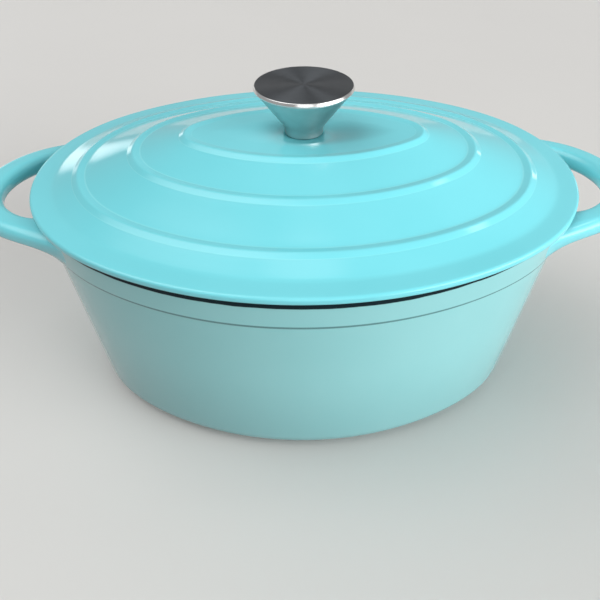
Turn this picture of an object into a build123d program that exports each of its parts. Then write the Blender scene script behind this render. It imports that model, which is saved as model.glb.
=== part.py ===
from build123d import *
from math import atan2, cos, degrees, radians, sin, tan
import os

# Oval enamelled cast iron casserole with a ribbed lift-off lid and a flared steel knob.
# Millimetres and degrees. +Z is up, the handles lie along X, the origin is the middle of the base.
# An inset is a distance measured inwards from the lid's outline, square to it.

# Outline of the lid, a four-centred oval
lid_length = 296.0
lid_width = 230.0
oval_fullness = 0.6         # power that sets the end radius: larger gives tighter ends

# Pot
pot_height = 118.0          # table to rim
lid_overhang = 3.0          # lid edge past the pot's rim
wall_thickness = 3.8
wall_draft = 8.0            # lean of the wall from upright
base_thickness = 4.6
base_corner_radius = 12.5
floor_corner_radius = 15.0  # inside, between floor and wall
floor_margin = 3.0          # flat ring kept between that radius and the plain middle of the floor
rim_band_height = 15.8      # thicker band below the rim
rim_band_step = 0.9         # how far the band stands proud of the wall
rim_band_blend = 0.4
rim_edge_radius = 1.1

# Loop handles, cast with the pot
handle_reach = 33.7         # nose of the handle past the lid's end
handle_loop_radius = 44.5   # middle line of the bar
handle_bar_width = 14.5
handle_bar_thickness = 10.5
handle_edge_radius = 4.6
handle_root_radius = 18.0   # flare of the bar into the wall
handle_hole_radius = 9.0    # corners of the finger hole at the wall
handle_drop = 0.4           # top of the bar below the rim

# Lid
lid_thickness = 3.6
lid_edge_height = 4.1
lid_edge_radius = 1.6
lid_edge_lift = 1.3         # underside of the overhang above the seat
seat_land_radius = 0.4
flange_land_inset = 10.5    # inner end of the gentle land along the edge
flange_land_rise = 0.9      # over the width of the land
flange_land_radius = 20.0
flange_rise = 4.75          # foot of the first rib above the top of the edge
flange_underside_lift = 3.0  # above the seat, just inside the locating ring
rib_count = 3
rib_first_inset = 25.8
rib_last_tip_radius = 15.0  # innermost rib at the ends of the oval
rib_pitch_ratio = 0.87      # each step inwards against the one before
rib_outer_width = 3.2
rib_inner_width = 2.6
rib_outer_drop = 1.6        # crest to outer foot
rib_inner_drop = 0.46       # crest to inner foot
rib_crest_radius = 4.2
rib_foot_radius = 4.0
terrace_slope = 16.9
plateau_plate_radius = 2.0  # ends of the plain plate in the middle
underside_blend_radius = 20.0

# Ring under the lid that keeps it central in the mouth
locating_ring_depth = 5.0
locating_ring_width = 4.0
locating_ring_taper = 0.5
locating_ring_radius = 1.2
locating_clearance = 2.0    # to the inside of the rim

# Knob
knob_height = 25.9
knob_disc_diameter = 53.0
knob_disc_thickness = 1.9
knob_disc_edge_radius = 0.4
knob_disc_bevel = 0.8       # edge leans in toward the top
knob_disc_overhang = 0.8    # disc past the top of the body
knob_foot_diameter = 20.4
knob_throat_height = 3.8    # upright foot below the cone
knob_throat_radius = 8.0
knob_foot_radius = 0.6
knob_floor_height = 10.0    # solid below the hollow
knob_wall = 3.0
knob_spigot_depth = 2.0     # disc into the body's mouth
fit_gap = 0.1               # between pieces that slip together

# Threaded insert, screw and washers
insert_diameter = 12.0
insert_collar_diameter = 17.0
insert_collar_height = 3.0
insert_setback = 0.4        # insert above the knob's foot
screw_diameter = 6.0
screw_length = 16.0
screw_head_diameter = 12.0
screw_head_height = 3.6
screw_head_radius = 1.8
screw_slot_width = 1.6
screw_slot_depth = 1.8
screw_hole_clearance = 0.8  # hole in the lid, over the screw
flat_washer_diameter = 18.0
flat_washer_thickness = 1.2
lock_washer_diameter = 11.8
lock_washer_thickness = 1.6
lock_washer_gap = 1.2
washer_clearance = 0.3      # holes of the washers, over the screw

# The oval's centres: end arcs about (±end_centre, 0), side arcs about (0, ∓side_centre)
half_length = lid_length / 2
half_width = lid_width / 2
end_radius = half_width * (half_width / half_length) ** oval_fullness
end_centre = half_length - end_radius
side_radius = (end_centre**2 + half_width**2 - end_radius**2) / (2 * (half_width - end_radius))
side_centre = side_radius - half_width
end_angle = degrees(atan2(side_centre, end_centre))

# Heights and insets that the pieces share
seat_z = pot_height
rim_inner_inset = lid_overhang + wall_thickness + rim_band_step
draft = tan(radians(wall_draft))


def oval(inset):
    end = end_radius - inset
    join_x = end_centre + end * cos(radians(end_angle))
    join_y = end * sin(radians(end_angle))
    tip_x = half_length - inset
    tip_y = half_width - inset
    arcs = [
        ThreePointArc((join_x, -join_y), (tip_x, 0), (join_x, join_y)),
        ThreePointArc((join_x, join_y), (0, tip_y), (-join_x, join_y)),
        ThreePointArc((-join_x, join_y), (-tip_x, 0), (-join_x, -join_y)),
        ThreePointArc((-join_x, -join_y), (0, -tip_y), (join_x, -join_y)),
    ]
    return make_face(Curve() + arcs)


def section(corners):
    # Closed face from (inset, z, corner radius) points; the first and last are joined by a line.
    points = [(-inset, z) for inset, z, _ in corners]
    path = FilletPolyline(*points, radius=[r for _, _, r in corners[1:-1]])
    closing = Line(points[-1], points[0])
    return Plane.XZ * make_face(path + closing)


def around_oval(profile):
    # Turns a section about each of the oval's four centres.
    end = Pos(end_centre, 0) * Rot(0, 0, -end_angle) * revolve(
        Pos(end_radius, 0) * profile, Axis.Z, 2 * end_angle
    )
    flank = Pos(0, -side_centre) * Rot(0, 0, end_angle) * revolve(
        Pos(side_radius, 0) * profile, Axis.Z, 180 - 2 * end_angle
    )
    half_turn = Rot(0, 0, 180)
    return end + [flank, half_turn * end, half_turn * flank]


def turned(points):
    # Body of revolution about Z from straight-sided (radius, z) points.
    return revolve(make_face(Plane.XZ * Polyline(*points, close=True)), Axis.Z)


def wall_inset(z):
    return lid_overhang + (seat_z - z) * draft


def make_handle():
    top = seat_z - handle_drop
    foot = top - handle_bar_thickness
    centre = half_length + handle_reach - handle_bar_width / 2 - handle_loop_radius
    wall_outline = oval(wall_inset(foot))
    disc = Pos(centre, 0) * Circle(handle_loop_radius + handle_bar_width / 2)
    outline = wall_outline + disc
    roots = outline.vertices().sort_by(Axis.X)[-2:]
    outline = fillet(roots, handle_root_radius)
    hole = Pos(centre, 0) * Circle(handle_loop_radius - handle_bar_width / 2) - wall_outline
    hole = fillet(hole.vertices(), handle_hole_radius)
    slab = Pos(0, 0, foot) * extrude(outline - hole, handle_bar_thickness)
    slab = fillet(slab.faces().filter_by(Axis.Z).edges(), handle_edge_radius)
    core = oval(wall_inset(foot) + wall_thickness / 2)
    slab -= Pos(0, 0, foot) * extrude(core, handle_bar_thickness)
    return split(slab, Plane.YZ.offset(end_centre), keep=Keep.TOP)


def make_pot():
    band_foot = seat_z - rim_band_height
    wall_top = band_foot - rim_band_step
    wall_foot_inset = wall_inset(0) + rim_band_step
    floor_inset = rim_inner_inset + (seat_z - base_thickness) * draft
    plate_inset = floor_inset + floor_corner_radius + floor_margin
    wall = section([
        (plate_inset, base_thickness, 0),
        (floor_inset, base_thickness, floor_corner_radius),
        (rim_inner_inset, seat_z, rim_edge_radius),
        (lid_overhang, seat_z, rim_edge_radius),
        (wall_inset(band_foot), band_foot, rim_band_blend),
        (wall_inset(wall_top) + rim_band_step, wall_top, rim_band_blend),
        (wall_foot_inset, 0, base_corner_radius),
        (plate_inset, 0, 0),
    ])
    floor = extrude(oval(plate_inset), base_thickness)
    handle = make_handle()
    return around_oval(wall) + [floor, handle, mirror(handle, Plane.YZ)]


def rib_insets():
    last = end_radius - rib_last_tip_radius
    steps = [rib_pitch_ratio**i for i in range(rib_count - 1)]
    unit = (last - rib_first_inset) / sum(steps)
    insets = [rib_first_inset]
    for step in steps:
        insets.append(insets[-1] + unit * step)
    return insets


def lid_top_line():
    # From the lid's edge inwards over the ribs to the flat middle.
    slope = tan(radians(terrace_slope))
    edge_top = seat_z + lid_edge_lift + lid_edge_height
    land_z = edge_top + flange_land_rise
    line = [(0, edge_top, lid_edge_radius), (flange_land_inset, land_z, flange_land_radius)]
    foot_z = edge_top + flange_rise
    for inset in rib_insets():
        foot_inset = inset - rib_outer_width
        if inset > rib_first_inset:
            foot_z = line[-1][1] + slope * (foot_inset - line[-1][0])
        crest_z = foot_z + rib_outer_drop
        line.append((foot_inset, foot_z, rib_foot_radius))
        line.append((inset, crest_z, rib_crest_radius))
        line.append((inset + rib_inner_width, crest_z - rib_inner_drop, rib_foot_radius))
    return line


top_line = lid_top_line()
plateau_z = top_line[-1][1]
underside_z = plateau_z - lid_thickness


def make_lid():
    plate_inset = end_radius - plateau_plate_radius
    plateau_inset = top_line[-1][0]
    first_valley_inset, first_valley_z, _ = top_line[4]
    land_inset = lid_overhang + rim_edge_radius
    ring_outer = rim_inner_inset + locating_clearance
    ring_inner = ring_outer + locating_ring_width
    ring_z = seat_z - locating_ring_depth
    lift_z = seat_z + lid_edge_lift
    underside = [
        (0, lift_z, lid_edge_radius),
        (land_inset, lift_z, seat_land_radius),
        (land_inset + lid_edge_lift / 2, seat_z, seat_land_radius),
        (ring_outer, seat_z, seat_land_radius),
        (ring_outer + locating_ring_taper, ring_z, locating_ring_radius),
        (ring_inner - locating_ring_taper, ring_z, locating_ring_radius),
        (ring_inner, seat_z + flange_underside_lift, locating_ring_radius),
        (first_valley_inset, first_valley_z - lid_thickness, underside_blend_radius),
        (plateau_inset, underside_z, underside_blend_radius),
        (plate_inset, underside_z, 0),
    ]
    shell = around_oval(section([(plate_inset, plateau_z, 0)] + top_line[::-1] + underside))
    plate = Pos(0, 0, underside_z) * extrude(oval(plate_inset), lid_thickness)
    hole = Pos(0, 0, underside_z) * Cylinder(
        (screw_diameter + screw_hole_clearance) / 2, lid_thickness, align=on_base
    )
    return shell + plate - hole


on_base = (Align.CENTER, Align.CENTER, Align.MIN)
knob_cone_z = plateau_z + knob_height - knob_disc_thickness
knob_mouth_radius = knob_disc_diameter / 2 - knob_disc_overhang - knob_wall
knob_floor_z = plateau_z + knob_floor_height


def make_knob_body():
    foot = knob_foot_diameter / 2
    brim = knob_disc_diameter / 2 - knob_disc_overhang
    throat_z = plateau_z + knob_throat_height
    spigot_z = knob_cone_z - knob_spigot_depth
    outer = FilletPolyline(
        (0, plateau_z), (foot, plateau_z), (foot, throat_z), (brim, knob_cone_z), (0, knob_cone_z),
        radius=[knob_foot_radius, knob_throat_radius, knob_foot_radius],
    )
    body = revolve(make_face(Plane.XZ * (outer + Line((0, knob_cone_z), (0, plateau_z)))), Axis.Z)
    hollow = turned([
        (0, knob_floor_z),
        (insert_collar_diameter / 2 + knob_wall, knob_floor_z),
        (knob_mouth_radius, spigot_z - fit_gap),
        (knob_mouth_radius, knob_cone_z),
        (0, knob_cone_z),
    ])
    bore = Pos(0, 0, plateau_z) * Cylinder(insert_diameter / 2 + fit_gap, knob_floor_height, align=on_base)
    return body - hollow - bore


def make_knob_cap():
    rim = knob_disc_diameter / 2
    top = plateau_z + knob_height
    edge = FilletPolyline(
        (0, knob_cone_z), (rim, knob_cone_z), (rim - knob_disc_bevel, top), (0, top),
        radius=knob_disc_edge_radius,
    )
    disc = revolve(make_face(Plane.XZ * (edge + Line((0, top), (0, knob_cone_z)))), Axis.Z)
    spigot = Pos(0, 0, knob_cone_z - knob_spigot_depth) * Cylinder(
        knob_mouth_radius - fit_gap, knob_spigot_depth, align=on_base
    )
    return disc + spigot


def make_knob_insert():
    bore = screw_diameter / 2 + fit_gap
    bush = insert_diameter / 2
    collar = insert_collar_diameter / 2
    foot_z = plateau_z + insert_setback
    collar_z = knob_floor_z + insert_collar_height
    return turned([
        (bore, foot_z), (bush, foot_z), (bush, knob_floor_z), (collar, knob_floor_z),
        (collar, collar_z), (bore, collar_z),
    ])


def washer(diameter, thickness, top_z):
    outer = Cylinder(diameter / 2, thickness, align=on_base)
    hole = Cylinder(screw_diameter / 2 + washer_clearance, thickness, align=on_base)
    return Pos(0, 0, top_z - thickness) * (outer - hole)


lock_washer_top = underside_z - flat_washer_thickness
screw_seat_z = lock_washer_top - lock_washer_thickness


def make_lock_washer():
    ring = washer(lock_washer_diameter, lock_washer_thickness, lock_washer_top)
    split = Pos(lock_washer_diameter / 4, 0, screw_seat_z) * Box(
        lock_washer_diameter / 2, lock_washer_gap, lock_washer_thickness, align=on_base
    )
    return ring - split


def make_knob_screw():
    head = Cylinder(screw_head_diameter / 2, screw_head_height, align=on_base)
    head = fillet(head.edges().filter_by(GeomType.CIRCLE).sort_by(Axis.Z)[0], screw_head_radius)
    slots = [
        Box(screw_head_diameter / 2, screw_slot_width, screw_slot_depth, align=on_base),
        Box(screw_slot_width, screw_head_diameter / 2, screw_slot_depth, align=on_base),
    ]
    head = Pos(0, 0, screw_seat_z - screw_head_height) * (head - slots)
    shank = Pos(0, 0, screw_seat_z) * Cylinder(screw_diameter / 2, screw_length, align=on_base)
    return head + shank


pieces = {
    "pot": make_pot(),
    "lid": make_lid(),
    "knob_body": make_knob_body(),
    "knob_cap": make_knob_cap(),
    "knob_insert": make_knob_insert(),
    "knob_screw": make_knob_screw(),
    "flat_washer": washer(flat_washer_diameter, flat_washer_thickness, underside_z),
    "lock_washer": make_lock_washer(),
}

os.makedirs("parts", exist_ok=True)
for name, piece in pieces.items():
    export_step(piece, f"parts/{name}.step")
    print(name, round(piece.volume / 1000, 2), "cm3")
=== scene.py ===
from math import acos, ceil, cos, degrees, pi, radians, sin, tan

import bmesh
import bpy
import numpy as np
from mathutils import Matrix, Vector


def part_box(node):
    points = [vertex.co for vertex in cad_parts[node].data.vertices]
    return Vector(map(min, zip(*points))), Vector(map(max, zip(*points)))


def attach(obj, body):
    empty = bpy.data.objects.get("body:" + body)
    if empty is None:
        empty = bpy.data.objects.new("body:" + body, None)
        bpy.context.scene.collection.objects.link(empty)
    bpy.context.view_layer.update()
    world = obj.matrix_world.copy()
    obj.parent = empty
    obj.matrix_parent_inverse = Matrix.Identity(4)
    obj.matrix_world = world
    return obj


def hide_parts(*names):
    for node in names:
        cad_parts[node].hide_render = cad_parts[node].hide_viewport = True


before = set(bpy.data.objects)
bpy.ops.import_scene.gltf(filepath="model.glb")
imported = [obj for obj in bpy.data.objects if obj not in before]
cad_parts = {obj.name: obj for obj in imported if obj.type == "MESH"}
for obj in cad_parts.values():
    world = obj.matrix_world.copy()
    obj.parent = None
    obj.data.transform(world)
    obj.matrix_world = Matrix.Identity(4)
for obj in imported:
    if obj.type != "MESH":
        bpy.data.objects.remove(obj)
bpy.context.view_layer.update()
mm = 0.001  # shapes are worked out in millimetres and turned into metres when a mesh is made
print("frame loaded:", ", ".join(sorted(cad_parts)))


# shader wiring
class Wire:
    def __init__(self, finish, socket):
        self.finish = finish
        self.socket = socket

    def sum(self, operation, first, second):
        return self.finish.add("Math", {"operation": operation}, {0: first, 1: second})

    def __add__(self, other):
        return self.sum("ADD", self, other)

    def __radd__(self, other):
        return self.sum("ADD", other, self)

    def __sub__(self, other):
        return self.sum("SUBTRACT", self, other)

    def __rsub__(self, other):
        return self.sum("SUBTRACT", other, self)

    def __mul__(self, other):
        return self.sum("MULTIPLY", self, other)

    def __rmul__(self, other):
        return self.sum("MULTIPLY", other, self)

    def __pow__(self, other):
        return self.sum("POWER", self, other)


class Finish:
    def __init__(self, owner):
        owner.use_nodes = True
        self.owner = owner
        self.tree = owner.node_tree
        self.tree.nodes.clear()

    def add(self, kind, settings=None, values=None, out=0):
        node = self.tree.nodes.new("ShaderNode" + kind)
        for key, value in (settings or {}).items():
            setattr(node, key, value)
        for key, value in (values or {}).items():
            if isinstance(value, Wire):
                self.tree.links.new(value.socket, node.inputs[key])
            else:
                node.inputs[key].default_value = value
        return Wire(self, node.outputs[out]) if len(node.outputs) else None

    def place(self):
        return self.add("TexCoord", out="Object")

    def axis(self, name):
        return self.add("SeparateXYZ", None, {0: self.place()}, name)

    def noise(self, grain, detail=2.0):
        # grain is the size of one cloud in millimetres
        values = {"Vector": self.place(), "Scale": 1 / (grain * mm), "Detail": detail}
        return self.add("TexNoise", None, values, "Fac")

    def ease(self, value, low, high):
        # 0 at low and 1 at high, with soft ends
        return self.add(
            "MapRange", {"interpolation_type": "SMOOTHSTEP"},
            {"Value": value, "From Min": low, "From Max": high},
        )

    def tint(self, factor, first, second):
        return self.add("Mix", {"data_type": "RGBA"}, {0: factor, 6: first, 7: second}, 2)

    def bump(self, height, depth, normal=None):
        # depth is the height in millimetres that 0 to 1 stands for
        values = {"Height": height, "Distance": depth * mm, "Strength": 1.0}
        if normal:
            values["Normal"] = normal
        return self.add("Bump", None, values)

    def close(self, values):
        shader = self.add("BsdfPrincipled", None, values)
        self.add("OutputMaterial", None, {"Surface": shader})
        return self.owner


def dimmed(colour, share):
    return tuple(share * c for c in colour[:3]) + (1,)


# shape tools
ovalShape = {
    "fullness": 0.6,    # power that sets the end radius
    "softness": 13.0,   # degrees over which the end curve eases into the side
    "steps": 320,       # points round the oval
}


def ovalOutline(halfLength, halfWidth):
    # outline points by the angle of their outward normal, so insets along it stay parallel
    endRadius = halfWidth * (halfWidth / halfLength) ** ovalShape["fullness"]
    soft = radians(ovalShape["softness"])
    theta = np.linspace(0, pi / 2, 6001)
    step = theta[1]

    def sideShare(turn):
        share = np.clip((theta - turn + soft) / (2 * soft), 0, 1)
        return share * share * (3 - 2 * share)

    def total(values):
        return float(np.sum((values[1:] + values[:-1]) / 2) * step)

    wanted = (halfWidth - endRadius) / (halfLength - endRadius)
    low, high = 0.1, 1.5
    for _ in range(60):
        turn = (low + high) / 2
        share = sideShare(turn)
        if total(share * np.cos(theta)) / total(share * np.sin(theta)) > wanted:
            low = turn
        else:
            high = turn
    extra = (halfLength - endRadius) / total(share * np.sin(theta))
    radius = endRadius + extra * share
    alongX = radius * np.sin(theta)
    alongY = radius * np.cos(theta)
    x = halfLength - np.concatenate([[0], np.cumsum((alongX[1:] + alongX[:-1]) / 2 * step)])
    y = np.concatenate([[0], np.cumsum((alongY[1:] + alongY[:-1]) / 2 * step)])
    return theta, x, y, endRadius


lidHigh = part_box("lid")[1] / mm
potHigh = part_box("pot")[1] / mm
seatZ = potHigh.z
quarterTurn, quarterX, quarterY, endRadius = ovalOutline(lidHigh.x, lidHigh.y)


def ovalAt(angles, inset, z):
    # points of the oval at an inset from the lid's edge, for the given normal angles
    angles = np.asarray(angles, float)
    folded = np.abs((angles + pi) % (2 * pi) - pi)
    folded = np.where(folded > pi / 2, pi - folded, folded)
    x = np.interp(folded, quarterTurn, quarterX) * np.sign(np.cos(angles))
    y = np.interp(folded, quarterTurn, quarterY) * np.sign(np.sin(angles))
    z = np.broadcast_to(z, angles.shape)
    return np.stack([x - inset * np.cos(angles), y - inset * np.sin(angles), z], -1)


roundAngles = np.arange(ovalShape["steps"]) * 2 * pi / ovalShape["steps"]


def roundedLine(corners, arcStep=6.0, span=4.0):
    # rounds the corners of (inset, z, radius) points; returns (inset, z, convexity) points
    line = [np.array([*corners[0][:2], 0.0])]
    for before, corner, after in zip(corners, corners[1:], corners[2:]):
        here = np.array(corner[:2], float)
        back = np.array(before[:2], float) - here
        ahead = np.array(after[:2], float) - here
        back /= np.linalg.norm(back)
        ahead /= np.linalg.norm(ahead)
        turn = pi - acos(max(-1.0, min(1.0, float(back @ ahead))))
        if turn < 0.02:
            line.append(np.array([*here, corner[3] if len(corner) > 3 else 0.0]))
            continue
        side = 1 if back[0] * ahead[1] - back[1] * ahead[0] > 0 else -1
        reach = corner[2] * tan(turn / 2)
        start = here + back * reach
        middle = here + (back + ahead) / np.linalg.norm(back + ahead) * corner[2] / cos(turn / 2)
        count = max(2, ceil(degrees(turn) / arcStep))
        for k in range(count + 1):
            swing = -side * turn * k / count
            arm = start - middle
            spot = middle + np.array([
                arm[0] * cos(swing) - arm[1] * sin(swing), arm[0] * sin(swing) + arm[1] * cos(swing)
            ])
            bend = corner[3] if len(corner) > 3 else side * min(1.0, 2.0 / corner[2]) * sin(pi * k / count)
            line.append(np.array([*spot, bend]))
    line.append(np.array([*corners[-1][:2], 0.0]))
    filled = [line[0]]
    for last, point in zip(line, line[1:]):
        gap = np.linalg.norm((point - last)[:2])
        parts = max(1, ceil(gap / span))
        filled += [last + (point - last) * k / parts for k in range(1, parts + 1)]
    return filled


def ringsAlong(line):
    return [ovalAt(roundAngles, inset, z) for inset, z, _ in line]


def circleRing(radius, z, steps):
    turn = np.arange(steps) * 2 * pi / steps
    return np.stack([radius * np.cos(turn), radius * np.sin(turn), np.full(steps, z)], -1)


def makePiece(name, skins, finishes, body, nodes):
    # each skin is a row of rings, with keys rings, wrap, slots and a value per ring for the glaze: thinner on
    # crests with a painted highlight, pooled in hollows, and a painted shadow line
    points, faces, slots, glazeAndPaintedLight = [], [], [], []
    for skin in skins:
        rings = skin["rings"]
        count = len(rings[0])
        base = len(points)
        for ring, value in zip(rings, skin.get("glazeAndPaintedLight") or [0.0] * len(rings)):
            points.extend(ring * mm)
            glazeAndPaintedLight.extend([value] * count)
        pairs = list(zip(range(len(rings)), range(1, len(rings))))
        if skin.get("wrap"):
            pairs.append((len(rings) - 1, 0))
        for k, (a, b) in enumerate(pairs):
            slot = skin["slots"][k] if isinstance(skin["slots"], list) else skin["slots"]
            first, second = base + a * count, base + b * count
            for i in range(count):
                j = (i + 1) % count
                faces.append([first + i, first + j, second + j, second + i])
                slots.append(slot)
        if not skin.get("wrap"):
            for ring, slot in ((0, 0), (len(rings) - 1, -1)):
                if len(set(map(tuple, np.round(rings[ring], 6)))) > 1:
                    faces.append([base + ring * count + i for i in range(count)])
                    slots.append(skin["slots"][slot] if isinstance(skin["slots"], list) else skin["slots"])
    mesh = bpy.data.meshes.new(name)
    mesh.from_pydata([tuple(p) for p in points], [], faces)
    mesh.polygons.foreach_set("material_index", slots)
    mesh.attributes.new("glazeAndPaintedLight", "FLOAT", "POINT").data.foreach_set("value", glazeAndPaintedLight)
    shape = bmesh.new()
    shape.from_mesh(mesh)
    bmesh.ops.recalc_face_normals(shape, faces=shape.faces)
    shape.to_mesh(mesh)
    shape.free()
    mesh.shade_smooth()
    piece = bpy.data.objects.new(name, mesh)
    bpy.context.scene.collection.objects.link(piece)
    for finish in finishes:
        mesh.materials.append(finish)
    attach(piece, body)
    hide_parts(*nodes)
    return piece


# enamel and steel
glazeLook = {
    "aqua": (0.185, 0.690, 0.765, 1),
    "aquaDeep": (0.174, 0.676, 0.750, 1),
    # pale glaze on crests and edges: a painted highlight, with thinner glaze there too
    "aquaCrestHighlight": (0.330, 0.830, 0.860, 1),
    # paler and greyer than the lid's aqua: painted sheen of reflected light on the pot's walls
    "potAquaWithSheen": (0.290, 0.650, 0.665, 1),
    "potDeepWithSheen": (0.277, 0.636, 0.651, 1),
    "potFootShade": (0.190, 0.440, 0.455, 1),   # painted shade, a little deeper toward the foot
    "cream": (0.760, 0.700, 0.590, 1),
    "creamDeep": (0.690, 0.615, 0.490, 1),
    # painted shadow along the foot of the pot's rim band
    "paintedBandShadow": (0.090, 0.260, 0.270, 1),
    # near-black bare iron, tinted blue-green as a painted reflection of the aqua glaze
    "bareRimAndReflection": (0.002, 0.010, 0.014, 1),
    "bareRimWornAndReflection": (0.005, 0.018, 0.023, 1),
    "gloss": 0.055,
    "glossSpread": 0.035,
    "coat": 0.25,
    "coatRoughness": 0.05,
    "cloudSize": 55,      # slow waves of the glaze
    "cloudDepth": 0.25,
    "peelSize": 5.5,      # fine ripple
    "peelDepth": 0.004,
    "smearSize": 9,
    "pinholeSize": 1.6,
    "pinholeShare": 0.15,
    "crestHighlightShare": 0.45,   # how far the glaze pales on crests, a painted highlight with thinner glaze there too
    "hollowShare": 0.30,  # and deepens in hollows
    "footShadeReach": 70.0,     # height over which painted shade deepens the pot toward its foot
    "footShadeShare": 0.55,
    "gritSize": 0.9,      # bare iron
    "gritDepth": 0.05,
    "edgeWave": 14,       # length of one wander of a glaze's edge
    "rimDepth": 3.1,      # black rim down the outside of the pot
    "rimNarrow": 1.5,     # less of it at the ends
    "rimNarrowFrom": 50.0,
    "rimNarrowTo": 130.0,
    "rimShift": 18.0,     # its deepest place lies left of the middle
    "mouthDepth": 4.5,    # black rim down the inside of the pot
    "lidEdgeBare": 0.3,   # bare iron round the foot of the lid's edge
    "lidRingBare": 1.2,   # and up to this far below the flange's underside
}


def glazeFinish(name, thick, deep, pale, dark=None, low=None):
    # thick, deep, pale and low name colours in glazeLook; pale is a painted highlight on crests and edges,
    # low a painted shade toward the foot
    look = glazeLook
    f = Finish(bpy.data.materials.new(name))
    cloud = f.noise(look["cloudSize"])
    smear = f.noise(look["smearSize"], 3.0)
    peel = f.noise(look["peelSize"], 1.0)
    pinhole = f.ease(f.noise(look["pinholeSize"], 1.0), 0.74, 0.80)
    # value per vertex: glaze thinning on crests with a painted highlight, pooling in hollows, and a painted
    # shadow line
    glazeAndPaintedLight = f.add("Attribute", {"attribute_name": "glazeAndPaintedLight"}, None, "Fac")
    hollow = -1 * glazeAndPaintedLight
    colour = f.tint(f.ease(cloud, 0.35, 0.70), look[thick], look[deep])
    # painted highlight: crests and edges pale toward the pale colour
    colour = f.tint(f.ease(glazeAndPaintedLight, 0.0, 1.2) * look["crestHighlightShare"], colour, look[pale])
    colour = f.tint(f.ease(hollow, 0.0, 1.0) * look["hollowShare"], colour, look[deep])
    # painted shadow: the dark line along the foot of the rim band
    colour = f.tint(f.ease(hollow, 1.2, 2.6), colour, look["paintedBandShadow"])
    colour = f.tint(pinhole * look["pinholeShare"], colour, look[deep])
    # painted shade: the pot's glaze darkens toward its foot
    if low:
        colour = f.tint(f.ease(f.axis("Z"), look["footShadeReach"] * mm, 0.0) * look["footShadeShare"], colour, look[low])
    gloss = look["gloss"] + f.ease(smear, 0.45, 0.75) * look["glossSpread"]
    normal = f.bump(peel, look["peelDepth"], f.bump(cloud, look["cloudDepth"]))
    glass = f.add("BsdfPrincipled", None, {
        "Base Color": colour, "Roughness": gloss, "Normal": normal,
        "Coat Weight": look["coat"], "Coat Roughness": look["coatRoughness"],
    })
    if dark:
        grit = f.noise(look["gritSize"])
        bare = f.add("BsdfPrincipled", None, {
            "Base Color": f.tint(grit, look["bareRimAndReflection"], look["bareRimWornAndReflection"]), "Roughness": 0.5 + grit * 0.2,
            "Specular IOR Level": 0.1, "Normal": f.bump(grit, look["gritDepth"]),
        })
        glass = f.add("MixShader", None, {0: dark(f), 1: glass, 2: bare})
    f.add("OutputMaterial", None, {"Surface": glass})
    return f.owner


def glazeEdge(f, height, wander, soft, lift=0.0):
    # 0 below a height and 1 above it, along a line that wanders a little
    wobble = (f.noise(glazeLook["edgeWave"]) - 0.5) * (wander * mm)
    return f.ease(f.axis("Z") + wobble - lift, (height - soft) * mm, (height + soft) * mm)


def potRimMask(f):
    # the black line narrows toward the ends of the oval
    look = glazeLook
    across = f.add("Math", {"operation": "ABSOLUTE"}, {0: f.axis("X") + look["rimShift"] * mm})
    ends = f.ease(across, look["rimNarrowFrom"] * mm, look["rimNarrowTo"] * mm)
    narrow = ends * (look["rimNarrow"] * mm)
    return glazeEdge(f, seatZ - look["rimDepth"], wander=0.8, soft=0.2, lift=narrow)


def potMouthMask(f):
    return glazeEdge(f, seatZ - glazeLook["mouthDepth"], wander=1.2, soft=0.3)


steelLook = {
    "satin": ((0.58, 0.58, 0.57, 1), 0.30),      # colour and roughness
    # brushed disc colour darkened: a painted dark reflection standing in for a dark room mirrored in it
    "brushedPaintedDark": ((0.13, 0.142, 0.154, 1), 0.33),
    "polished": ((0.80, 0.80, 0.79, 1), 0.12),
    "plated": ((0.66, 0.66, 0.64, 1), 0.22),
    "cloudSize": 6,
    "cloudShade": 0.82,
    "smearSize": 18,
    "grainSize": 0.5,
    "grainDepth": 0.0015,
    "ringScale": 2600.0,  # turned rings of the disc
    "ringDepth": 0.02,
    "brushing": {"Anisotropic": 0.95, "Anisotropic Rotation": 0.25},
}


def steelFinish(name, tone, grain=None, brushing=None):
    look = steelLook
    colour, roughness = look[tone]
    f = Finish(bpy.data.materials.new(name))
    cloud = f.noise(look["cloudSize"], 3.0)
    smear = f.ease(f.noise(look["smearSize"]), 0.4, 0.7)
    return f.close({
        "Base Color": f.tint(cloud, colour, dimmed(colour, look["cloudShade"])),
        "Roughness": roughness + cloud * 0.05 + smear * 0.04,
        "Metallic": 1.0,
        "Normal": grain(f) if grain else f.bump(f.noise(look["grainSize"]), look["grainDepth"]),
        **(brushing or {}),
    })


def turnedGrain(f):
    # fine rings round the axis
    x, y = f.axis("X"), f.axis("Y")
    spot = f.add("CombineXYZ", None, {0: (x * x + y * y) ** 0.5})
    values = {"Vector": spot, "Scale": steelLook["ringScale"], "Detail": 3.0, "Roughness": 0.7}
    return f.bump(f.add("TexNoise", None, values, "Fac"), steelLook["ringDepth"])


outsideGlaze = glazeFinish("outsideGlaze", "potAquaWithSheen", "potDeepWithSheen", "aquaCrestHighlight", potRimMask, "potFootShade")
handleGlaze = glazeFinish("handleGlaze", "aqua", "aquaDeep", "aquaCrestHighlight")
insideGlaze = glazeFinish("insideGlaze", "cream", "creamDeep", "cream", potMouthMask)
print("glazes ready")

# pot
potShape = {
    "lidOverhang": 3.0,
    "wall": 3.8,
    "draft": 8.0,
    "floor": 4.6,
    "footRadius": 12.5,
    "floorRadius": 15.0,
    "floorMargin": 3.0,
    "bandHeight": 15.8,
    "bandStep": 0.9,
    "bandBlend": 0.4,
    "bandTurn": 0.5,      # middle of the step, below the foot of the band
    "lineWidth": 0.70,    # painted shadow line along the foot of the band
    "lineFade": 0.5,
    "rimRadius": 1.1,
}


def wallInset(z):
    return potShape["lidOverhang"] + (seatZ - z) * tan(radians(potShape["draft"]))


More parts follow.
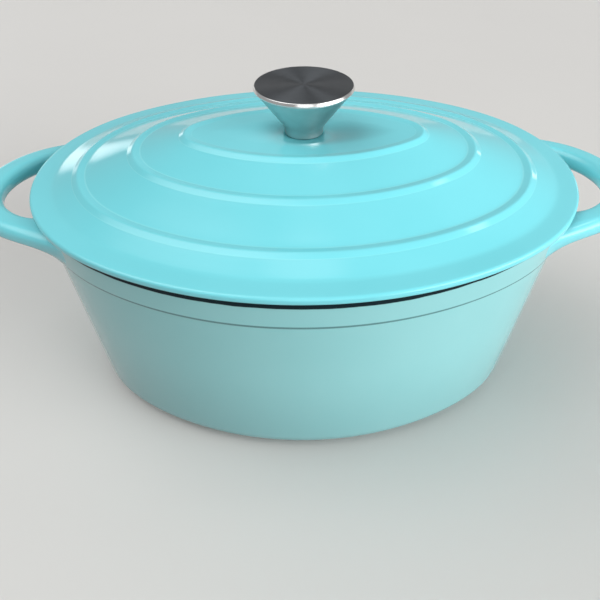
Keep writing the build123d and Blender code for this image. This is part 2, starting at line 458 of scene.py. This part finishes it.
def potSection():
    # a fourth value marks the painted shadow line along the foot of the rim band
    p = potShape
    lean = tan(radians(p["draft"]))
    mouth = p["lidOverhang"] + p["wall"] + p["bandStep"]
    floorInset = mouth + (seatZ - p["floor"]) * lean
    middle = floorInset + p["floorRadius"] + p["floorMargin"]
    bandFoot = seatZ - p["bandHeight"]
    lineTop = bandFoot + p["lineWidth"]
    wallTop = bandFoot - p["bandStep"]
    lineFoot = wallTop - p["lineWidth"]
    return [
        (middle, p["floor"], 0),
        (floorInset, p["floor"], p["floorRadius"]),
        (mouth, seatZ, p["rimRadius"]),
        (p["lidOverhang"], seatZ, p["rimRadius"]),
        (wallInset(lineTop + p["lineFade"]), lineTop + p["lineFade"], 0, 0.0),
        (wallInset(lineTop), lineTop, 0, -3.0),
        (wallInset(bandFoot), bandFoot, p["bandBlend"], -3.0),
        (wallInset(wallTop) + p["bandStep"], wallTop, p["bandBlend"], -3.0),
        (wallInset(lineFoot) + p["bandStep"], lineFoot, 0, 0.0),
        (wallInset(0) + p["bandStep"], 0, p["footRadius"]),
        (middle, 0, 0),
    ]


handleShape = {
    "loopRadius": 44.5,
    "barWidth": 14.5,
    "barThickness": 10.5,
    "barRounding": 4.7,
    "drop": 0.4,          # top of the bar below the rim
    "flareOut": 22.0,     # blend into the wall, outer side
    "flareIn": 9.0,       # hole side
    "flareDown": 15.0,
    "flareUp": 0.0,
    "sink": 0.5,          # foot of the blend within the wall
    "leavePull": 2.2,     # how long the blend follows the wall
    "sinkPull": 4.0,
    "arrivePull": 1.3,    # and the bar
    "rootTurn": 62.0,     # degrees from the nose at which the blend starts
    "around": 48,
    "along": 56,
    "flareSteps": 20,
}


def outerInset(z):
    # outside of the pot at a height, band and wall
    turnZ = seatZ - potShape["bandHeight"] - potShape["bandTurn"]
    return wallInset(z) + np.where(z < turnZ, potShape["bandStep"], 0.0)


def handleRings(side):
    h = handleShape
    middleZ = seatZ - h["drop"] - h["barThickness"] / 2
    centre = potHigh.x - h["barWidth"] / 2 - h["loopRadius"]
    spin = (np.arange(h["around"]) + 0.5) * 2 * pi / h["around"]
    across, upward = np.cos(spin), np.sin(spin)
    u = np.sign(across) * (h["barWidth"] / 2 - h["barRounding"]) + across * h["barRounding"]
    v = np.sign(upward) * (h["barThickness"] / 2 - h["barRounding"]) + upward * h["barRounding"]

    def barRing(turn):
        reach = h["loopRadius"] + u
        return np.stack([centre + reach * cos(turn), reach * sin(turn), middleZ + v], -1)

    wallTurns = np.linspace(0.1, 1.2, 2000)  # the root lies between these normal angles
    wallPoints = ovalAt(wallTurns, wallInset(middleZ), middleZ)
    fromCentre = np.hypot(wallPoints[:, 0] - centre, wallPoints[:, 1])
    rootAngle = wallTurns[np.argmin(np.abs(fromCentre - h["loopRadius"]))]
    wallRadius = endRadius - wallInset(middleZ)
    spreadT = np.where(across > 0, h["flareOut"], h["flareIn"]) * across
    spreadZ = np.where(upward > 0, h["flareUp"], h["flareDown"]) * upward
    footAngle = rootAngle + (u + spreadT) / wallRadius
    footZ = middleZ + v + spreadZ
    foot = ovalAt(footAngle, outerInset(footZ) + h["sink"], footZ)
    outward = np.stack([np.cos(footAngle), np.sin(footAngle), np.zeros_like(footAngle)], -1)
    alongWall = np.stack([-np.sin(footAngle), np.cos(footAngle), np.zeros_like(footAngle)], -1)
    upWall = outward * tan(radians(potShape["draft"])) + np.array([0, 0, 1.0])
    leave = -(alongWall * spreadT[:, None] + upWall * spreadZ[:, None]) * h["leavePull"]
    leave += outward * h["sink"] * h["sinkPull"]
    rootTurn = radians(h["rootTurn"])
    neck = barRing(rootTurn)
    stretch = np.linalg.norm(neck - foot, axis=1)[:, None]
    arrive = np.array([sin(rootTurn), -cos(rootTurn), 0]) * stretch * h["arrivePull"]
    flare = []
    for s in np.linspace(0, 1, h["flareSteps"] + 1)[:-1]:
        flare.append(
            (2 * s**3 - 3 * s**2 + 1) * foot + (s**3 - 2 * s**2 + s) * leave
            + (3 * s**2 - 2 * s**3) * neck + (s**3 - s**2) * arrive
        )
    bar = [barRing(turn) for turn in np.linspace(rootTurn, -rootTurn, h["along"])]
    rings = flare + bar + [ring * np.array([1, -1, 1]) for ring in flare[::-1]]
    return [ring * np.array([side, 1, 1]) for ring in rings]


potLine = roundedLine(potSection())
rimMiddle = potShape["lidOverhang"] + (potShape["wall"] + potShape["bandStep"]) / 2
rimIndex = next(k for k, (inset, z, _) in enumerate(potLine) if z > seatZ - 0.01 and inset < rimMiddle + 1)
potSkins = [{
    "rings": ringsAlong(potLine),
    "slots": [1 if k < rimIndex else 0 for k in range(len(potLine) - 1)],
    "glazeAndPaintedLight": [point[2] for point in potLine],
}]
for side in (-1, 1):
    potSkins.append({"rings": handleRings(side), "slots": 2})
pot = makePiece(
    "potCasting", potSkins, [outsideGlaze, insideGlaze, handleGlaze], "pot", ["pot"]
)
print("pot modelled:", len(pot.data.polygons), "faces")

# lid
lidShape = {
    "thickness": 3.6,
    "edgeHeight": 4.1,
    "edgeRadius": 1.6,
    "edgeLift": 1.3,
    "seatRadius": 0.4,
    "landInset": 11.4,    # gentle land along the edge
    "landRise": 0.55,
    "landRadius": 12.0,
    "flangeRise": 4.50,
    "flangeUnderside": 3.0,
    "ribCount": 3,
    "ribFirst": 25.6,
    "ribLastTip": 14.7,
    "ribPitchRatio": 0.93,
    "ribOuterWidth": 3.0,
    "ribInnerWidth": 4.0,
    "ribOuterDrop": 1.9,
    "ribInnerDrop": 0.66,
    "ribCrestRadius": 2.2,
    "ribFootRadius": 2.6,
    "dome": 0.8,          # middle rib above a straight line from the first to the last
    "plateTip": 2.0,
    "undersideBlend": 20.0,
    "ringDepth": 5.0,
    "ringWidth": 4.0,
    "ringTaper": 0.5,
    "ringRadius": 1.2,
    "ringClearance": 2.0,
    "screwHole": 6.8,
}
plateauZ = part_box("knob_body")[0].z / mm


def lidTop():
    s = lidShape
    edgeTop = seatZ + s["edgeLift"] + s["edgeHeight"]
    line = [(0, edgeTop, s["edgeRadius"]), (s["landInset"], edgeTop + s["landRise"], s["landRadius"])]
    steps = [s["ribPitchRatio"] ** k for k in range(s["ribCount"] - 1)]
    reach = endRadius - s["ribLastTip"] - s["ribFirst"]
    firstFoot = edgeTop + s["flangeRise"]
    lastFoot = plateauZ + s["ribInnerDrop"] - s["ribOuterDrop"]
    for k in range(s["ribCount"]):
        share = sum(steps[:k]) / sum(steps)
        inset = s["ribFirst"] + reach * share
        foot = firstFoot + (lastFoot - firstFoot) * share + s["dome"] * 4 * share * (1 - share)
        crest = foot + s["ribOuterDrop"]
        line.append((inset - s["ribOuterWidth"], foot, s["ribFootRadius"]))
        line.append((inset, crest, s["ribCrestRadius"]))
        line.append((inset + s["ribInnerWidth"], crest - s["ribInnerDrop"], s["ribFootRadius"]))
    return line


def lidUnderside(top):
    s = lidShape
    mouth = potShape["lidOverhang"] + potShape["wall"] + potShape["bandStep"]
    land = potShape["lidOverhang"] + potShape["rimRadius"]
    ringOuter = mouth + s["ringClearance"]
    ringInner = ringOuter + s["ringWidth"]
    underZ = top[-1][1] - s["thickness"]
    return [
        (0, seatZ + s["edgeLift"], s["edgeRadius"]),
        (land, seatZ + s["edgeLift"], s["seatRadius"]),
        (land + s["edgeLift"] / 2, seatZ, s["seatRadius"]),
        (ringOuter, seatZ, s["seatRadius"]),
        (ringOuter + s["ringTaper"], seatZ - s["ringDepth"], s["ringRadius"]),
        (ringInner - s["ringTaper"], seatZ - s["ringDepth"], s["ringRadius"]),
        (ringInner, seatZ + s["flangeUnderside"], s["ringRadius"]),
        (top[4][0], top[4][1] - s["thickness"], s["undersideBlend"]),
        (top[-1][0], underZ, s["undersideBlend"]),
        (endRadius - s["plateTip"], underZ, 0),
    ]


def lidEdgeMask(f):
    bareTop = seatZ + lidShape["edgeLift"] + glazeLook["lidEdgeBare"]
    return 1 - glazeEdge(f, bareTop, wander=0.7, soft=0.2)


def lidInnerMask(f):
    bareTop = seatZ + lidShape["flangeUnderside"] - glazeLook["lidRingBare"]
    return 1 - glazeEdge(f, bareTop, wander=0.9, soft=0.3)


lidGlaze = glazeFinish("lidGlaze", "aqua", "aquaDeep", "aquaCrestHighlight", lidEdgeMask)
lidInside = glazeFinish("lidInside", "cream", "creamDeep", "cream", lidInnerMask)
topCorners = lidTop()
plateInset = endRadius - lidShape["plateTip"]
lidLine = roundedLine([(plateInset, plateauZ, 0)] + topCorners[::-1] + lidUnderside(topCorners))
edgeIndex = next(k for k, (inset, z, _) in enumerate(lidLine) if inset > 2 and z < seatZ + 2)
lidRings = ringsAlong(lidLine)
holeTurn = np.arctan2(lidRings[0][:, 1], lidRings[0][:, 0])
holeRing = np.stack([np.cos(holeTurn), np.sin(holeTurn)], -1) * lidShape["screwHole"] / 2
for z, place in ((plateauZ, 0), (plateauZ - lidShape["thickness"], len(lidRings) + 1)):
    lidRings.insert(place, np.column_stack([holeRing, np.full(len(holeRing), z)]))
lidSkin = {
    "rings": lidRings,
    "wrap": True,
    "slots": [0 if k <= edgeIndex else 1 for k in range(len(lidRings))],
    "glazeAndPaintedLight": [0.0] + [point[2] for point in lidLine] + [0.0],
}
lid = makePiece("lidCasting", [lidSkin], [lidGlaze, lidInside], "lid", ["lid"])
print("lid modelled:", len(lid.data.polygons), "faces")

# knob
knobShape = {
    "footWidth": 20.4,
    "throatHeight": 3.8,
    "throatRadius": 8.0,
    "footRadius": 0.6,
    "discOverhang": 0.8,
    "discBevel": 0.8,     # edge of the disc leans in toward the top
    "discEdge": 0.4,
    "tip": 0.02,          # smallest ring, at the axis
    "steps": 160,
}
satinSteel = steelFinish("satinSteel", "satin")
brushedSteel = steelFinish("brushedSteel", "brushedPaintedDark", turnedGrain, steelLook["brushing"])
polishedSteel = steelFinish("polishedSteel", "polished")
platedSteel = steelFinish("platedSteel", "plated")
bodyLow, bodyHigh = (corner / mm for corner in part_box("knob_body"))
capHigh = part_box("knob_cap")[1] / mm


def lathe(corners):
    line = roundedLine(corners, 6.0, 3.0)
    return [circleRing(radius, z, knobShape["steps"]) for radius, z, _ in line], line


knob = knobShape
discRadius = capHigh.x
brim = discRadius - knob["discOverhang"]
coneRings, _ = lathe([
    (knob["tip"], bodyLow.z, 0),
    (knob["footWidth"] / 2, bodyLow.z, knob["footRadius"]),
    (knob["footWidth"] / 2, bodyLow.z + knob["throatHeight"], knob["throatRadius"]),
    (brim, bodyHigh.z, knob["footRadius"]),
    (knob["tip"], bodyHigh.z, 0),
])
makePiece(
    "knobCone", [{"rings": coneRings, "slots": 0}], [satinSteel], "lid", ["knob_body"]
)
discRings, discLine = lathe([
    (knob["tip"], bodyHigh.z, 0),
    (discRadius, bodyHigh.z, knob["discEdge"]),
    (discRadius - knob["discBevel"], capHigh.z, knob["discEdge"]),
    (knob["tip"], capHigh.z, 0),
])
topFrom = next(n for n, (_, z, _) in enumerate(discLine) if z > capHigh.z - 0.01)
makePiece(
    "knobDisc",
    [{"rings": discRings, "slots": [1 if n < topFrom else 0 for n in range(len(discRings) - 1)]}],
    [brushedSteel, polishedSteel], "lid", ["knob_cap"],
)
for name in ("knob_insert", "knob_screw", "flat_washer", "lock_washer"):
    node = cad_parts[name]
    node.data.materials.clear()
    node.data.materials.append(platedSteel)
print("knob modelled")

# stage
stageLook = {
    "floor": (0.66, 0.65, 0.63, 1),
    "floorBounce": (0.05, 0.05, 0.05, 1),  # what the floor throws back at the object
    "floorSize": 8.0,
    "floorGrain": 220,
    "floorShade": 0.96,
    "floorRoughness": 0.55,
    "roomGlow": 0.15,                      # even light from all round
    "softLights": [                        # azimuth from the back, elevation, reach in degrees, brightness
        (121, 0, 42, 6.0),
        (-104, 58, 38, 2.7),
        (178, 22, 22, 2.1),
        (5, 80, 11, 1.5),
        (-30, 4, 9, 2.1),
        (41, 9, 4, 3.6),
        (74, 49, 5, 4.0),
    ],
    "fillLights": [                        # these lift the shade and aren't mirrored
        (121, 0, 42, 6.4),
        (-45, 30, 46, 1.6),
        (45, 25, 46, 0.4),
    ],
    "backdrop": 0.50,                      # what the camera and reflections see behind
}


def shownIn(f):
    # 1 where the camera, a reflection or glass looks at the stage
    kinds = ("Camera", "Glossy", "Transmission")
    camera, glossy, glass = (f.add("LightPath", None, None, "Is " + kind + " Ray") for kind in kinds)
    return f.add("Math", {"operation": "ADD", "use_clamp": True}, {0: camera + glossy, 1: glass})


def makeFloor():
    look = stageLook
    f = Finish(bpy.data.materials.new("paleFloor"))
    shade = f.tint(f.noise(look["floorGrain"], 3.0), look["floor"], dimmed(look["floor"], look["floorShade"]))
    shade = f.tint(shownIn(f), look["floorBounce"], shade)
    half = look["floorSize"] / 2
    corners = [(-half, -half, 0), (half, -half, 0), (half, half, 0), (-half, half, 0)]
    mesh = bpy.data.meshes.new("floor")
    mesh.from_pydata(corners, [], [(0, 1, 2, 3)])
    mesh.materials.append(f.close({"Base Color": shade, "Roughness": look["floorRoughness"]}))
    floor = bpy.data.objects.new("floor", mesh)
    bpy.context.scene.collection.objects.link(floor)


def setWorld():
    # soft lights round a pale backdrop; the fill isn't mirrored
    world = bpy.data.worlds.new("softRoom")
    f = Finish(world)
    toward = f.add("TexCoord", out="Generated")

    def glowOf(lights, glow):
        for azimuth, elevation, reach, strength in lights:
            turn, lift = radians(azimuth), radians(elevation)
            centre = (sin(turn) * cos(lift), cos(turn) * cos(lift), sin(lift))
            facing = f.add("VectorMath", {"operation": "DOT_PRODUCT"}, {0: toward, 1: centre}, "Value")
            glow = f.ease(facing, cos(radians(reach)), 1.0) * strength + glow
        return glow

    shown = shownIn(f)
    seen = f.add("LightPath", None, None, "Is Camera Ray")
    soft = glowOf(stageLook["softLights"], 0.0) * (1 - seen)
    room = glowOf(stageLook["fillLights"], stageLook["roomGlow"]) * (1 - shown)
    background = f.add("Background", None, {"Strength": soft + room + shown * stageLook["backdrop"]})
    f.add("OutputWorld", None, {"Surface": background})
    bpy.context.scene.world = world


makeFloor()
setWorld()

# camera at the photograph's place
cameraView = {
    "spot": (-6.2, -334.9, 301.4),
    "azimuth": -0.595,
    "elevation": 39.03,
    "roll": -0.391,
    "focal": 670.7,       # in pixels of the image
    "imageWidth": 600,
    "sensor": 36,
}


def setCamera():
    turn, lift, roll = (radians(cameraView[key]) for key in ("azimuth", "elevation", "roll"))
    back = Vector((sin(turn) * cos(lift), -cos(turn) * cos(lift), sin(lift)))
    right = (-back).cross(Vector((0, 0, 1))).normalized()
    up = right.cross(-back)
    right, up = right * cos(roll) + up * sin(roll), up * cos(roll) - right * sin(roll)
    data = bpy.data.cameras.new("camera")
    data.sensor_width = cameraView["sensor"]
    data.lens = cameraView["sensor"] * cameraView["focal"] / cameraView["imageWidth"]
    data.clip_start = 0.01
    camera = bpy.data.objects.new("camera", data)
    spot = Vector(cameraView["spot"]) * mm
    camera.matrix_world = Matrix.Translation(spot) @ Matrix((right, up, back)).transposed().to_4x4()
    bpy.context.scene.collection.objects.link(camera)
    bpy.context.scene.camera = camera


setCamera()
bpy.context.scene.view_settings.view_transform = "Standard"
print("stage, lights and camera set")
